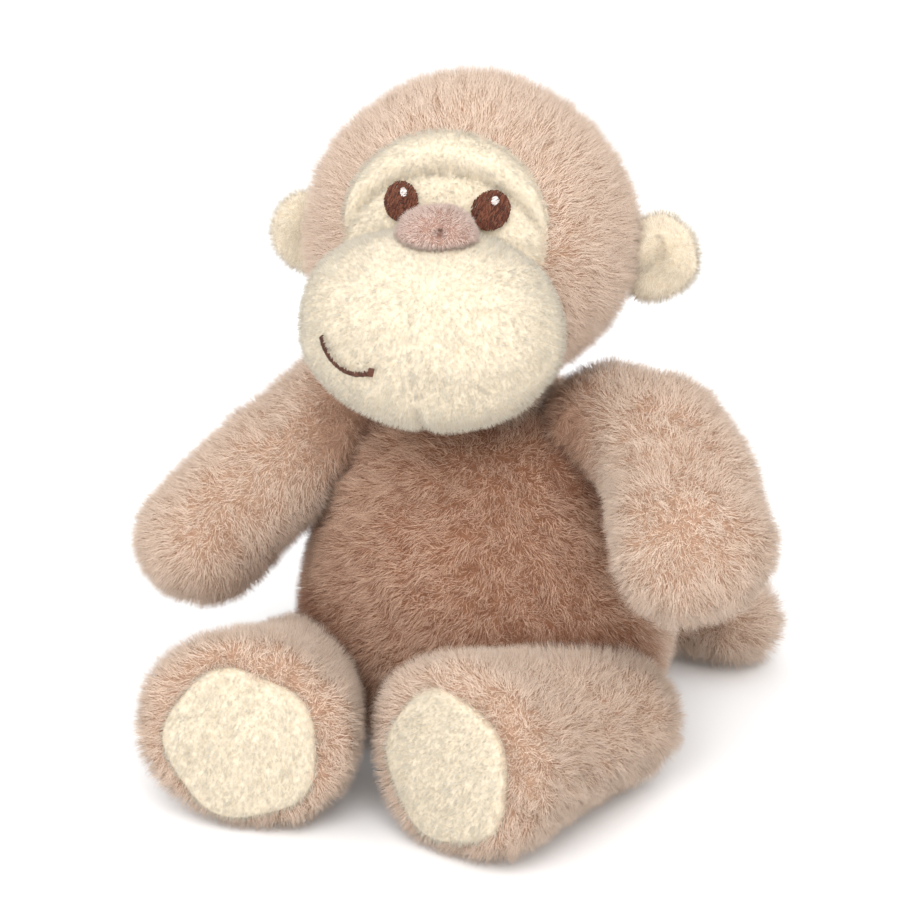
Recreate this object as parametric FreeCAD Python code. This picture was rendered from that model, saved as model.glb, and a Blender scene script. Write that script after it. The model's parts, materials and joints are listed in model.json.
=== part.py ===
import FreeCAD, Part
import itertools
import math
import os
from FreeCAD import Placement, Rotation, Vector

# A seated stuffed monkey, in millimetres. +Z is up, it faces -Y, and its own left side is +X.
# The origin is on the surface it sits on, at the middle of its seat.

# Sewn covers: backing cloth and pile together, and the gaps that keep the pieces apart.
COVER = 3.0
FILL_GAP = 0.3
MOVE_GAP = 0.5
SWEEP_GAP = 0.7

# Torso: a pear of a low wide ball and a high narrow one, cut flat where it sits.
TORSO_BACK = 7.0
TORSO_LOW = (50.5, 44.0)
TORSO_HIGH = (32.0, 66.5)

# Bead pouch low in the torso.
POUCH_CENTRE = Vector(0, 14, 19)
POUCH_RADIUS = 26.0
POUCH_HALF = 12.0
POUCH_CLOTH = 0.8
BEAD_RADIUS = 2.9
BEAD_PITCH = 6.4

# Neck: a stuffed ball that the head turns and nods on.
NECK_PIVOT = Vector(0, 1, 103.5)
NECK_RADIUS = 18.6
NECK_COVER = 1.6

# Head: nearly a ball, turned a little to the monkey's left.
HEAD_CENTRE = Vector(1, -4, 147.3)
HEAD_TURN = 10.0
HEAD_RADIUS = 43.0
FACE_RADIUS = 28.0
FACE_HEIGHT = 6.0
MUZZLE_CENTRE = Vector(0, -42.5, -15.6)
MUZZLE_RADIUS = 24.5
MUZZLE_HALF = 34.0
MUZZLE_COVER = 2.0
NOSE_CENTRE = Vector(0, -44.0, 14.0)
NOSE_RADIUS = 7.0
NOSE_HALF = 11.0
BROW_TILT = 12.0
BROW_ARCH = 23.5
BROW_RADIUS = 4.5
EYE_SIDE = 12.3
EYE_HEIGHT = 17.7
EYE_RADIUS = 5.3
STITCH = 1.0
GLINT_RADIUS = 1.2
MOUTH_POINTS = (Vector(-25.8, 0, -13.8), Vector(-18.7, 0, -20.4), Vector(-11.5, 0, -19.8))
MOUTH_HALF_WIDTH = 0.8

# Ears: cupped discs on the sides of the head.
EAR_CENTRE = Vector(50.4, 8.5, -5)
EAR_RADIUS = 11.0
EAR_HALF = 3.8
EAR_ROOT = 44.8
EAR_ROOT_RADIUS = 2.2
EAR_ROOT_HALF = 8.0
CUP_RADIUS = 9.0
CUP_DEPTH = 2.4

# Arms: from the shoulder's centre to the hand's.
SHOULDER = Vector(38, 2, 95)
ARM_AIM = {"left": Vector(0.69, -0.655, -0.29), "right": Vector(-0.56, -0.525, -0.644)}
ARM_LENGTH = 54.0
ARM_RADII = (16.0, 20.0)
ARM_RANGE = {"left": (-12.0, 34.0), "right": (-4.0, 66.0)}

# Legs: from the hip's centre to the middle of the sole.
HIP = {"left": Vector(45.5, -19, 20.7), "right": Vector(-41.5, -25, 20.7)}
SOLE = {"left": Vector(24.5, -79.5, 27.4), "right": Vector(-29.9, -87.7, 27)}
LEG_RADII = (20.4, 27.0)
SOLE_EDGE = 7.0
PAD_RADIUS = 20.5
PAD_THICKNESS = 2.4
PAD_RECESS = 0.8
LEG_RANGE = (-18.0, 28.0)

# Tail: a bent sausage that lies on the surface, curling to the monkey's left.
TAIL_POINTS = (Vector(3, 53, 15.5), Vector(26, 69, 13.6), Vector(50, 73, 13.3))
TAIL_RADII = (9.0, 11.2, 13.0)
TAIL_RANGE = (-6.0, 70.0)


def lens(centre, radius, half, axis):
    """A solid lens: two ball caps of the given radius and half thickness, face to face."""
    ball = (radius ** 2 + half ** 2) / (2 * half)
    shift = axis * (ball - half)
    return Part.makeSphere(ball, centre + shift).common(Part.makeSphere(ball, centre - shift))


def sausage(centre, radius, half, grow=0.0):
    """A cylinder with ball ends along X, its half length and radius grown by grow."""
    reach = half - radius
    shape = Part.makeSphere(radius + grow, centre - Vector(reach, 0, 0))
    shape = shape.fuse(Part.makeSphere(radius + grow, centre + Vector(reach, 0, 0)))
    middle = Part.makeCylinder(radius + grow, 2 * reach, centre - Vector(reach, 0, 0), Vector(1, 0, 0))
    return shape.fuse(middle).removeSplitter()


def half_space(point, normal, size=400.0):
    """A large block with one face through point, reaching along normal."""
    block = Part.makeBox(size, size, size, Vector(-size / 2, -size / 2, 0))
    block.Placement = Placement(point, Rotation(Vector(0, 0, 1), normal))
    return block


def aimed(shape, origin, along, side):
    """Move a shape drawn with +X along it and +Z to its side to its real place."""
    turn = Rotation(along, Vector(), side, "XZY")
    shape.Placement = Placement(origin, turn).multiply(shape.Placement)
    return shape


def limb_outline(length, near, far):
    """Points along the outline of a ball, a cone and a ball in a row, from one tip to the other."""
    lean = math.asin((far - near) / length)
    sin_l, cos_l = math.sin(lean), math.cos(lean)
    back = Vector(-near, 0, 0)
    back_half = (math.pi / 2 - lean) / 2
    back_mid = Vector(-near * math.cos(back_half), 0, near * math.sin(back_half))
    cone_a = Vector(-near * sin_l, 0, near * cos_l)
    cone_b = Vector(length - far * sin_l, 0, far * cos_l)
    front_half = (math.pi / 2 + lean) / 2
    front_mid = Vector(length + far * math.cos(front_half), 0, far * math.sin(front_half))
    front = Vector(length + far, 0, 0)
    return back, back_mid, cone_a, cone_b, front_mid, front


def limb(length, near, far):
    """A stuffed tube along +X from a ball of radius near at the origin to one of radius far."""
    back, back_mid, cone_a, cone_b, front_mid, front = limb_outline(length, near, far)
    edges = [
        Part.Arc(back, back_mid, cone_a).toShape(),
        Part.LineSegment(cone_a, cone_b).toShape(),
        Part.Arc(cone_b, front_mid, front).toShape(),
        Part.LineSegment(front, back).toShape(),
    ]
    return Part.Face(Part.Wire(edges)).revolve(Vector(), Vector(1, 0, 0), 360)


def foot_limb(length, near, far, edge):
    """A stuffed tube along +X from a ball at the origin to a flat sole with a rounded edge."""
    lean = math.asin((far - near) / (length - edge))
    back = Vector(-near, 0, 0)
    half = (math.pi / 2 - lean) / 2
    back_mid = Vector(-near * math.cos(half), 0, near * math.sin(half))
    cone_a = Vector(-near * math.sin(lean), 0, near * math.cos(lean))
    cone_b = Vector(length - edge, 0, far)
    bulge = edge * math.sin(math.pi / 4)
    round_mid = Vector(length - edge + bulge, 0, far - edge + bulge)
    rim = Vector(length, 0, far - edge)
    middle = Vector(length, 0, 0)
    edges = [
        Part.Arc(back, back_mid, cone_a).toShape(),
        Part.LineSegment(cone_a, cone_b).toShape(),
        Part.Arc(cone_b, round_mid, rim).toShape(),
        Part.LineSegment(rim, middle).toShape(),
        Part.LineSegment(middle, back).toShape(),
    ]
    return Part.Face(Part.Wire(edges)).revolve(Vector(), Vector(1, 0, 0), 360)


def sweep_fan(length, near, far, low, high):
    """The space a limb sweeps as it turns about +Z from angle low to high, as one slice of a turned disc."""
    lean = math.asin((far - near) / length)
    edges = []
    corners = [
        Vector(0, 0, -near),
        Vector(0, 0, near),
        Vector(length - far * math.sin(lean), 0, far * math.cos(lean)),
        Vector(length + far, 0, 0),
        Vector(length - far * math.sin(lean), 0, -far * math.cos(lean)),
    ]
    for start, end in zip(corners, corners[1:] + corners[:1]):
        edges.append(Part.LineSegment(start, end).toShape())
    fan = Part.Face(Part.Wire(edges)).revolve(Vector(), Vector(0, 0, 1), high - low)
    fan.rotate(Vector(), Vector(0, 0, 1), low)
    return fan


def swing_clearance(origin, along, axis, length, radii, limits, gap=0.0):
    """What a limb needs left free in the torso: its own shape at both limits and the sweep between them."""
    near, far = radii[0] + MOVE_GAP + gap, radii[1] + MOVE_GAP + gap
    pieces = []
    for angle in limits:
        piece = aimed(limb(length, near, far), origin, along, axis)
        piece.rotate(origin, axis, angle)
        pieces.append(piece)
    extra = SWEEP_GAP - MOVE_GAP
    fan = aimed(sweep_fan(length, near + extra, far + extra, *limits), origin, along, axis)
    pieces.append(fan)
    return pieces


def cut_all(shape, tools):
    for tool in tools:
        shape = shape.cut(tool)
    return shape


def halves(shape, point, normal):
    """The two parts of a shape each side of a plane."""
    block = half_space(point, normal)
    return shape.common(block), shape.cut(block)


def torso_solid(inset=0.0):
    """The pear, standing on its flat seat, its whole surface moved in by inset."""
    (low, low_z), (high, high_z) = TORSO_LOW, TORSO_HIGH
    pear = aimed(limb(high_z - low_z, low - inset, high - inset), Vector(0, TORSO_BACK, low_z),
                 Vector(0, 0, 1), Vector(0, 1, 0))
    return pear.common(half_space(Vector(0, 0, inset), Vector(0, 0, 1)))


def mirrored(point, side):
    return Vector(point.x if side == "left" else -point.x, point.y, point.z)


def lift_axis(along):
    """The level axis about which a positive turn raises a limb."""
    return Vector(along.y, -along.x, 0).normalize()


def arm_frame(side):
    along = Vector(ARM_AIM[side]).normalize()
    return mirrored(SHOULDER, side), along, lift_axis(along)


def leg_frame(side):
    along = (SOLE[side] - HIP[side]).normalize()
    return HIP[side], along, lift_axis(along)


def tail_frame():
    first = TAIL_POINTS[1] - TAIL_POINTS[0]
    return TAIL_POINTS[0], Vector(first).normalize(), Vector(0, 0, 1)


def torso_clearances(gap=0.0):
    """Everything that the torso's cover leaves free for the neck, the limbs and the tail."""
    tools = [Part.makeSphere(NECK_RADIUS + MOVE_GAP + gap, NECK_PIVOT)]
    for side in ("left", "right"):
        origin, along, axis = arm_frame(side)
        tools += swing_clearance(origin, along, axis, ARM_LENGTH, ARM_RADII, ARM_RANGE[side], gap)
        origin, along, axis = leg_frame(side)
        length = (SOLE[side] - HIP[side]).Length - SOLE_EDGE
        tools += swing_clearance(origin, along, axis, length, LEG_RADII, LEG_RANGE, gap)
    origin, along, axis = tail_frame()
    length = (TAIL_POINTS[1] - TAIL_POINTS[0]).Length
    along = Vector(along.x, along.y, 0).normalize()
    tools += swing_clearance(origin, along, axis, length, TAIL_RADII[:2], TAIL_RANGE, gap + 0.3)
    return tools


def make_torso():
    outer, inner = torso_solid(), torso_solid(COVER)
    clear = torso_clearances()
    shell = cut_all(outer.cut(inner), clear)
    front, back = halves(shell, Vector(0, TORSO_BACK, 0), Vector(0, -1, 0))
    up = Vector(0, 0, 1)
    pouch_out = lens(POUCH_CENTRE, POUCH_RADIUS, POUCH_HALF, up)
    pouch_in = lens(POUCH_CENTRE, POUCH_RADIUS - 2 * POUCH_CLOTH, POUCH_HALF - POUCH_CLOTH, up)
    room = lens(POUCH_CENTRE, POUCH_RADIUS + FILL_GAP, POUCH_HALF + FILL_GAP, up)
    filling = cut_all(torso_solid(COVER + FILL_GAP), torso_clearances(FILL_GAP)).cut(room)
    return {
        "torso_front_panel": front,
        "torso_back_panel": back,
        "torso_filling": filling,
        "bead_pouch": pouch_out.cut(pouch_in),
        "bead_fill": make_beads(),
    }


def make_beads():
    """Round beads in level rows inside the pouch, each clear of the two ball caps of its cloth."""
    radius, half = POUCH_RADIUS - 2 * POUCH_CLOTH, POUCH_HALF - POUCH_CLOTH
    ball = (radius ** 2 + half ** 2) / (2 * half)
    caps = [Vector(0, 0, ball - half), Vector(0, 0, half - ball)]
    count = int(POUCH_RADIUS / BEAD_PITCH)
    steps = range(-count, count + 1)
    beads = []
    for i, j, k in itertools.product(steps, steps, (-1, 0, 1)):
        place = Vector(i, j, k) * BEAD_PITCH
        if all((place - cap).Length < ball - BEAD_RADIUS - FILL_GAP for cap in caps):
            beads.append(Part.makeSphere(BEAD_RADIUS, POUCH_CENTRE + place))
    return Part.makeCompound(beads)


def make_neck():
    ball = Part.makeSphere(NECK_RADIUS, NECK_PIVOT)
    core = Part.makeSphere(NECK_RADIUS - NECK_COVER, NECK_PIVOT)
    filling = Part.makeSphere(NECK_RADIUS - NECK_COVER - FILL_GAP, NECK_PIVOT)
    return {"neck_cover": ball.cut(core), "neck_filling": filling}


def head_surface_y(x, z):
    return -math.sqrt(HEAD_RADIUS ** 2 - x ** 2 - z ** 2)


def brow_roll(head):
    """A padded arch over the eyes: the upper part of a ring that lies on the head."""
    tilt = math.radians(BROW_TILT)
    axis = Vector(0, -math.cos(tilt), math.sin(tilt))
    middle = axis * math.sqrt(HEAD_RADIUS ** 2 - BROW_ARCH ** 2)
    ring = Part.makeTorus(BROW_ARCH, BROW_RADIUS, middle, axis)
    upper = ring.common(half_space(middle + Vector(0, 0, 1), Vector(0, math.sin(tilt), math.cos(tilt))))
    return upper.cut(head)


def eye_disc(x, z, radius, low, high):
    """A round patch of raised stitches that follows the head's surface."""
    centre = Vector(x, head_surface_y(x, z), z)
    out = Vector(centre).normalize()
    post = Part.makeCylinder(radius, 12, centre - out * 6, out)
    skin = Part.makeSphere(HEAD_RADIUS + high)
    base = Part.makeSphere(HEAD_RADIUS + low)
    return skin.cut(base).common(post)


def mouth_stitch():
    """One curved satin-stitch line on the muzzle's right side."""
    circle = Part.Circle(*MOUTH_POINTS)
    centre, radius = circle.Center, circle.Radius
    start = centre + Vector(0, -80, 0)
    ring = Part.makeCylinder(radius + MOUTH_HALF_WIDTH, 60, start, Vector(0, 1, 0))
    ring = ring.cut(Part.makeCylinder(radius - MOUTH_HALF_WIDTH, 60, start, Vector(0, 1, 0)))
    skin = muzzle_solid(STITCH).cut(muzzle_solid())
    line = skin.common(ring).common(half_space(MUZZLE_CENTRE, Vector(0, -1, 0)))
    middle = MOUTH_POINTS[1] - centre
    for end in (MOUTH_POINTS[0], MOUTH_POINTS[2]):
        across = Vector(end.z - centre.z, 0, centre.x - end.x)
        if across.dot(middle) < 0:
            across = across * -1
        line = line.common(half_space(centre, across))
    return line


def muzzle_solid(grow=0.0):
    return sausage(MUZZLE_CENTRE, MUZZLE_RADIUS, MUZZLE_HALF, grow)


def make_head():
    head = Part.makeSphere(HEAD_RADIUS)
    pivot = to_head(NECK_PIVOT)
    socket = Part.makeSphere(NECK_RADIUS + MOVE_GAP, pivot)
    window = Part.makeCylinder(FACE_RADIUS, 80, Vector(0, -90, FACE_HEIGHT), Vector(0, 1, 0))
    shell = head.cut(Part.makeSphere(HEAD_RADIUS - COVER)).cut(socket)
    face = shell.common(window)
    left, right = halves(shell.cut(window), Vector(), Vector(1, 0, 0))
    filling = Part.makeSphere(HEAD_RADIUS - COVER - FILL_GAP)
    filling = filling.cut(Part.makeSphere(NECK_RADIUS + MOVE_GAP + FILL_GAP, pivot))
    muzzle = muzzle_solid().cut(head)
    muzzle_in = muzzle_solid(-MUZZLE_COVER)
    muzzle_fill = muzzle_solid(-MUZZLE_COVER - FILL_GAP).cut(Part.makeSphere(HEAD_RADIUS + FILL_GAP))
    eyes, glints = {}, {}
    for side in ("left", "right"):
        x = EYE_SIDE if side == "left" else -EYE_SIDE
        eyes[side] = eye_disc(x, EYE_HEIGHT, EYE_RADIUS, 0, STITCH)
        glints[side] = eye_disc(x + 1.0, EYE_HEIGHT + 1.8, GLINT_RADIUS, STITCH, STITCH + 0.5)
    nose = sausage(NOSE_CENTRE, NOSE_RADIUS, NOSE_HALF).cut(head).cut(muzzle_solid())
    nose = cut_all(nose, eyes.values())
    nodes = {
        "head_left_panel": left,
        "head_right_panel": right,
        "face_panel": face,
        "head_filling": filling,
        "brow_roll": cut_all(brow_roll(head), eyes.values()),
        "muzzle_cover": muzzle.cut(muzzle_in),
        "muzzle_filling": muzzle_fill,
        "nose": nose,
        "mouth_stitch": mouth_stitch(),
    }
    for side in ("left", "right"):
        nodes["eye_" + side] = eyes[side]
        nodes["eye_glint_" + side] = cut_all(glints[side], [nose])
    return {name: on_head(shape) for name, shape in nodes.items()}


def head_placement():
    return Placement(HEAD_CENTRE, Rotation(Vector(0, 0, 1), HEAD_TURN))


def on_head(shape):
    """Carry a shape from the head's own axes to its place."""
    shape.Placement = head_placement().multiply(shape.Placement)
    return shape


def to_head(point):
    return head_placement().inverse().multVec(point)


def make_ears():
    nodes = {}
    for side, sign in (("left", 1), ("right", -1)):
        disc = lens(EAR_CENTRE, EAR_RADIUS, EAR_HALF, Vector(0, 1, 0))
        disc = disc.common(half_space(Vector(EAR_ROOT, 0, 0), Vector(1, 0, 0)))
        foot = Vector(EAR_ROOT, EAR_CENTRE.y, EAR_CENTRE.z - EAR_ROOT_HALF)
        disc = disc.fuse(Part.makeCylinder(EAR_ROOT_RADIUS, 2 * EAR_ROOT_HALF, foot)).removeSplitter()
        reach = (CUP_RADIUS ** 2 + CUP_DEPTH ** 2) / (2 * CUP_DEPTH)
        cup = EAR_CENTRE + Vector(1.5, -EAR_HALF + CUP_DEPTH - reach, 0)
        disc = disc.cut(Part.makeSphere(reach, cup))
        front, back = halves(disc, EAR_CENTRE, Vector(0, -1, 0))
        for face, shape in (("front", front), ("back", back)):
            if sign < 0:
                shape = shape.mirror(Vector(), Vector(1, 0, 0))
            nodes[f"ear_{side}_{face}"] = on_head(shape)
    return nodes


def make_arms():
    nodes = {}
    for side in ("left", "right"):
        origin, along, axis = arm_frame(side)
        outer = aimed(limb(ARM_LENGTH, *ARM_RADII), origin, along, axis)
        inner = aimed(limb(ARM_LENGTH, *[r - COVER for r in ARM_RADII]), origin, along, axis)
        filling = aimed(limb(ARM_LENGTH, *[r - COVER - FILL_GAP for r in ARM_RADII]), origin, along, axis)
        outward = axis if side == "right" else axis * -1
        near, away = halves(outer.cut(inner), origin, outward)
        nodes[f"arm_{side}_inner_panel"] = near
        nodes[f"arm_{side}_outer_panel"] = away
        nodes[f"arm_{side}_filling"] = filling
    return nodes


def make_legs():
    nodes = {}
    for side in ("left", "right"):
        length = (SOLE[side] - HIP[side]).Length
        origin, along, axis = leg_frame(side)
        outer = foot_limb(length, *LEG_RADII, SOLE_EDGE)
        inset = [r - COVER for r in LEG_RADII]
        inner = foot_limb(length - COVER, *inset, SOLE_EDGE - 1)
        pad_base = Vector(length - PAD_THICKNESS - PAD_RECESS, 0, 0)
        pad_room = Part.makeCylinder(PAD_RADIUS, 20, pad_base, Vector(1, 0, 0))
        pad = Part.makeCylinder(PAD_RADIUS, PAD_THICKNESS, pad_base, Vector(1, 0, 0))
        fill_inset = [r - COVER - FILL_GAP for r in LEG_RADII]
        filling = foot_limb(length - COVER - 2 * FILL_GAP, *fill_inset, SOLE_EDGE - 1)
        cover = outer.cut(inner).cut(pad_room)
        upper, lower = halves(cover, Vector(), Vector(0, 1, 0))
        parts = {"upper_panel": upper, "lower_panel": lower, "sole_pad": pad, "filling": filling}
        for part, shape in parts.items():
            nodes[f"leg_{side}_{part}"] = aimed(shape, origin, along, axis)
    return nodes


def tail_solid(inset=0.0):
    """Two tapered sausages in a row that share their middle ball."""
    shapes = []
    for (a, b), (ra, rb) in zip(zip(TAIL_POINTS, TAIL_POINTS[1:]), zip(TAIL_RADII, TAIL_RADII[1:])):
        along = Vector(b - a).normalize()
        side = along.cross(Vector(0, 0, 1)).normalize()
        shapes.append(aimed(limb((b - a).Length, ra - inset, rb - inset), a, along, side))
    return shapes[0].fuse(shapes[1]).removeSplitter()


def make_tail():
    shell = tail_solid().cut(tail_solid(COVER))
    upper, lower = halves(shell, Vector(0, 0, TAIL_POINTS[1].z), Vector(0, 0, 1))
    filling = tail_solid(COVER + FILL_GAP)
    return {"tail_upper_panel": upper, "tail_lower_panel": lower, "tail_filling": filling}


def main():
    nodes = {}
    for make in (make_neck, make_head, make_ears, make_arms, make_legs, make_tail, make_torso):
        nodes.update(make())
    for name, shape in nodes.items():
        solids = shape.Solids
        print(f"{name:24s} solids {len(solids):3d} valid {shape.isValid()} volume {shape.Volume:10.1f}")
        shape = solids[0] if len(solids) == 1 else Part.makeCompound(solids)
        shape.exportStep(os.path.join("parts", name + ".step"))


os.makedirs("parts", exist_ok=True)
main()
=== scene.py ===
import json
import math

import bpy
import numpy as np
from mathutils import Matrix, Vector


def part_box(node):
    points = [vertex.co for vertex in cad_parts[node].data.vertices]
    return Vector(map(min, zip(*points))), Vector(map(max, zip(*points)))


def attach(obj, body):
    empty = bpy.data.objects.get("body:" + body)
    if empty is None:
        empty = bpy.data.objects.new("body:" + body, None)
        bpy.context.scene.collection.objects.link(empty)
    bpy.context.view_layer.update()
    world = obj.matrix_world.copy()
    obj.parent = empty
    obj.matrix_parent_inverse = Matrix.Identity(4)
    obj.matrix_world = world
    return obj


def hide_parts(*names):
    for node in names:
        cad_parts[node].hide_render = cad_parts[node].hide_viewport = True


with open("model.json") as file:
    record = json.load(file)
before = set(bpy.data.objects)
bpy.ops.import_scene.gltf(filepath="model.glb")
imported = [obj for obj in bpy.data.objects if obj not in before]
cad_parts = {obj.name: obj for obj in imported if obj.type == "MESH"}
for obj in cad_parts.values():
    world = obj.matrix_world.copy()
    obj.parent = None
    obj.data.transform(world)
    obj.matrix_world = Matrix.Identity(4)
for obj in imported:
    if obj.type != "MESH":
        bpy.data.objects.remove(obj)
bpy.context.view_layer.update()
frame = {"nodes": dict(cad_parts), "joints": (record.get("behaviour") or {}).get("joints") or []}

# A seated stuffed monkey. Lengths in the parts below are in millimetres and become metres in the meshes.
MM = 0.001


# ---------------------------------------------------------------- the camera, the floor and the light

def unit(v):
    v = np.asarray(v, float)
    return v / np.maximum(np.linalg.norm(v, axis=-1, keepdims=True), 1e-12)


CAMERA_AZIMUTH = math.radians(24)
CAMERA_ELEVATION = math.radians(20)
CAMERA_DISTANCE = 0.9
CAMERA_ANGLE = math.radians(15.6)
CAMERA_TARGET = np.array((0.003, -0.020, 0.088))


def make_camera():
    level = math.cos(CAMERA_ELEVATION)
    back = np.array((math.sin(CAMERA_AZIMUTH) * level, -math.cos(CAMERA_AZIMUTH) * level,
                     math.sin(CAMERA_ELEVATION)))
    camera = bpy.data.objects.new("camera", bpy.data.cameras.new("camera"))
    camera.data.angle = CAMERA_ANGLE
    camera.data.clip_start = 0.05
    camera.location = CAMERA_TARGET + back * CAMERA_DISTANCE
    camera.rotation_euler = (math.pi / 2 - CAMERA_ELEVATION, 0, CAMERA_AZIMUTH)
    bpy.context.collection.objects.link(camera)
    bpy.context.scene.camera = camera


def area_light(name, place, aim, size, watts):
    light = bpy.data.objects.new(name, bpy.data.lights.new(name, "AREA"))
    light.data.size = size
    light.data.energy = watts
    light.location = place
    toward = Vector(aim) - Vector(place)
    light.rotation_euler = toward.to_track_quat("-Z", "Y").to_euler()
    bpy.context.collection.objects.link(light)


WORLD_STRENGTH = 1.12
FLOOR_HALF = 6.0
FLOOR_COLOUR = (0.93, 0.93, 0.93, 1)


def make_studio():
    """White all round, a soft light from above, a weak one from in front, and a pale plain floor."""
    world = bpy.data.worlds.new("studio")
    world.use_nodes = True
    background = world.node_tree.nodes["Background"]
    background.inputs["Color"].default_value = (1, 1, 1, 1)
    background.inputs["Strength"].default_value = WORLD_STRENGTH
    bpy.context.scene.world = world
    bpy.context.scene.view_settings.view_transform = "Standard"
    area_light("key", (0.36, -0.92, 0.9), (0, -0.02, 0.09), 0.9, 12.5)
    area_light("front", (0.1, -1.2, 0.35), (0, -0.02, 0.08), 1.2, 2.0)
    mesh = bpy.data.meshes.new("floor")
    half = FLOOR_HALF
    corners = [(-half, -half, 0), (half, -half, 0), (half, half, 0), (-half, half, 0)]
    mesh.from_pydata(corners, [], [(0, 1, 2, 3)])
    floor = bpy.data.objects.new("floor", mesh)
    bpy.context.collection.objects.link(floor)
    material = bpy.data.materials.new("floor_paper")
    material.use_nodes = True
    shader = material.node_tree.nodes["Principled BSDF"]
    shader.inputs["Base Color"].default_value = FLOOR_COLOUR
    shader.inputs["Roughness"].default_value = 0.9
    mesh.materials.append(material)


# ---------------------------------------------------------------- materials

def srgb(r, g, b):
    """A linear colour from the 0 to 255 values of a colour chart."""
    def linear(c):
        c /= 255
        return c / 12.92 if c <= 0.04045 else ((c + 0.055) / 1.055) ** 2.4
    return (linear(r), linear(g), linear(b), 1)


def fibre_material(name, colour, sheen=0.2, roughness=0.8):
    """One tone of pile: plain values only."""
    material = bpy.data.materials.new(name)
    material.use_nodes = True
    shader = material.node_tree.nodes["Principled BSDF"]
    shader.inputs["Base Color"].default_value = colour
    shader.inputs["Roughness"].default_value = roughness
    shader.inputs["Sheen Weight"].default_value = sheen
    shader.inputs["Sheen Roughness"].default_value = 0.5
    shader.inputs["Sheen Tint"].default_value = colour
    shader.inputs["Specular IOR Level"].default_value = 0.2
    return material


def cloth_material(name, dark, light, grain=900.0, depth=0.35):
    """Knitted cloth, or any matt stuff of two mingled tones: grain sets how fine they are, depth the bump."""
    material = bpy.data.materials.new(name)
    material.use_nodes = True
    tree = material.node_tree
    shader = tree.nodes["Principled BSDF"]
    shader.inputs["Roughness"].default_value = 0.9
    shader.inputs["Specular IOR Level"].default_value = 0.15
    place = tree.nodes.new("ShaderNodeTexCoord")
    noise = tree.nodes.new("ShaderNodeTexNoise")
    noise.inputs["Scale"].default_value = grain
    noise.inputs["Detail"].default_value = 3.0
    tree.links.new(place.outputs["Object"], noise.inputs["Vector"])
    ramp = tree.nodes.new("ShaderNodeValToRGB")
    ramp.color_ramp.elements[0].position = 0.3
    ramp.color_ramp.elements[0].color = dark
    ramp.color_ramp.elements[1].position = 0.7
    ramp.color_ramp.elements[1].color = light
    tree.links.new(noise.outputs["Fac"], ramp.inputs["Fac"])
    tree.links.new(ramp.outputs["Color"], shader.inputs["Base Color"])
    bump = tree.nodes.new("ShaderNodeBump")
    bump.inputs["Strength"].default_value = depth
    bump.inputs["Distance"].default_value = 0.0004
    tree.links.new(noise.outputs["Fac"], bump.inputs["Height"])
    tree.links.new(bump.outputs["Normal"], shader.inputs["Normal"])
    return material


def tones(name, colours, **settings):
    return [fibre_material(f"{name}_{i}", srgb(*c), **settings) for i, c in enumerate(colours)]


BROWN = tones("brown_pile", [(232, 208, 188), (224, 199, 177), (241, 220, 203), (190, 162, 141)], sheen=0.3)
# Darker copies of the brown pile, of the same dye: painted shade. The half shade lies over the torso's front
# and the shade in the creases by the arms and legs. Both darken the arms by the chest.
HALF_SHADE = tones("half_shade_pile", [(209, 173, 149), (198, 160, 135), (220, 187, 164), (158, 118, 95)])
SHADE = tones("shade_pile", [(170, 128, 105), (156, 113, 90), (184, 144, 122), (116, 76, 58)])
CREAM = tones("cream_pile", [(215, 206, 188), (211, 201, 182), (219, 211, 196), (205, 192, 171)], sheen=0.32)
# A lighter copy of the cream pile, on the same velour: painted light on the ears.
LIT_EAR_TONES = tones("lit_ear_pile", [(238, 226, 206), (234, 220, 198), (241, 232, 215), (225, 208, 182)], sheen=0.4)
NOSE = tones("nose_pile", [(220, 196, 184), (210, 184, 171), (227, 206, 195), (188, 160, 148)])
BROWN_CLOTH = cloth_material("brown_backing", srgb(144, 112, 92), srgb(174, 142, 120))
# The torso's backing: darker than the brown backing, to go with the torso's painted shade.
SHADED_BACKING = cloth_material("shaded_backing", srgb(116, 78, 58), srgb(144, 104, 80))
CREAM_CLOTH = cloth_material("cream_backing", srgb(204, 189, 164), srgb(220, 208, 187))
NOSE_CLOTH = cloth_material("nose_backing", srgb(136, 104, 92), srgb(166, 134, 120))
FIBRE_CLOTH = cloth_material("filling_fibre", srgb(225, 225, 222), srgb(250, 250, 248), grain=250.0)
POUCH_CLOTH = cloth_material("pouch_cotton", srgb(214, 210, 200), srgb(238, 235, 228), grain=1400.0)
BEAD_PLASTIC = cloth_material("bead_plastic", srgb(204, 209, 214), srgb(222, 226, 230), grain=120.0,
                              depth=0.05)
EYE_THREADS = tones("eye_thread", [(90, 48, 32), (70, 35, 24), (106, 62, 44)], sheen=0.1, roughness=0.5)
GLINT_THREADS = tones("glint_thread", [(222, 214, 210), (196, 186, 180)], sheen=0.1, roughness=0.5)
MOUTH_THREADS = tones("mouth_thread", [(90, 56, 43), (72, 42, 32)], sheen=0.1, roughness=0.5)


# ---------------------------------------------------------------- skins: round closed forms

def cube_ball(n):
    """A unit ball as a cube's six grids: evenly spread vertices and four-sided faces."""
    line = np.tan(np.linspace(-math.pi / 4, math.pi / 4, n + 1))
    a, b = np.meshgrid(line, line, indexing="ij")
    one = np.ones_like(a)
    sides = [(one, a, b), (-one, b, a), (b, one, a), (a, -one, b), (a, b, one), (b, a, -one)]
    points, faces = [], []
    index = np.arange((n + 1) ** 2).reshape(n + 1, n + 1)
    quad = np.stack([index[:-1, :-1], index[1:, :-1], index[1:, 1:], index[:-1, 1:]], -1).reshape(-1, 4)
    for k, side in enumerate(sides):
        points.append(np.stack(side, -1).reshape(-1, 3))
        faces.append(quad + k * (n + 1) ** 2)
    points, faces = unit(np.concatenate(points)), np.concatenate(faces)
    _, first, inverse = np.unique(np.round(points, 6), axis=0, return_index=True, return_inverse=True)
    return points[first], inverse.reshape(-1)[faces]


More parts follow.
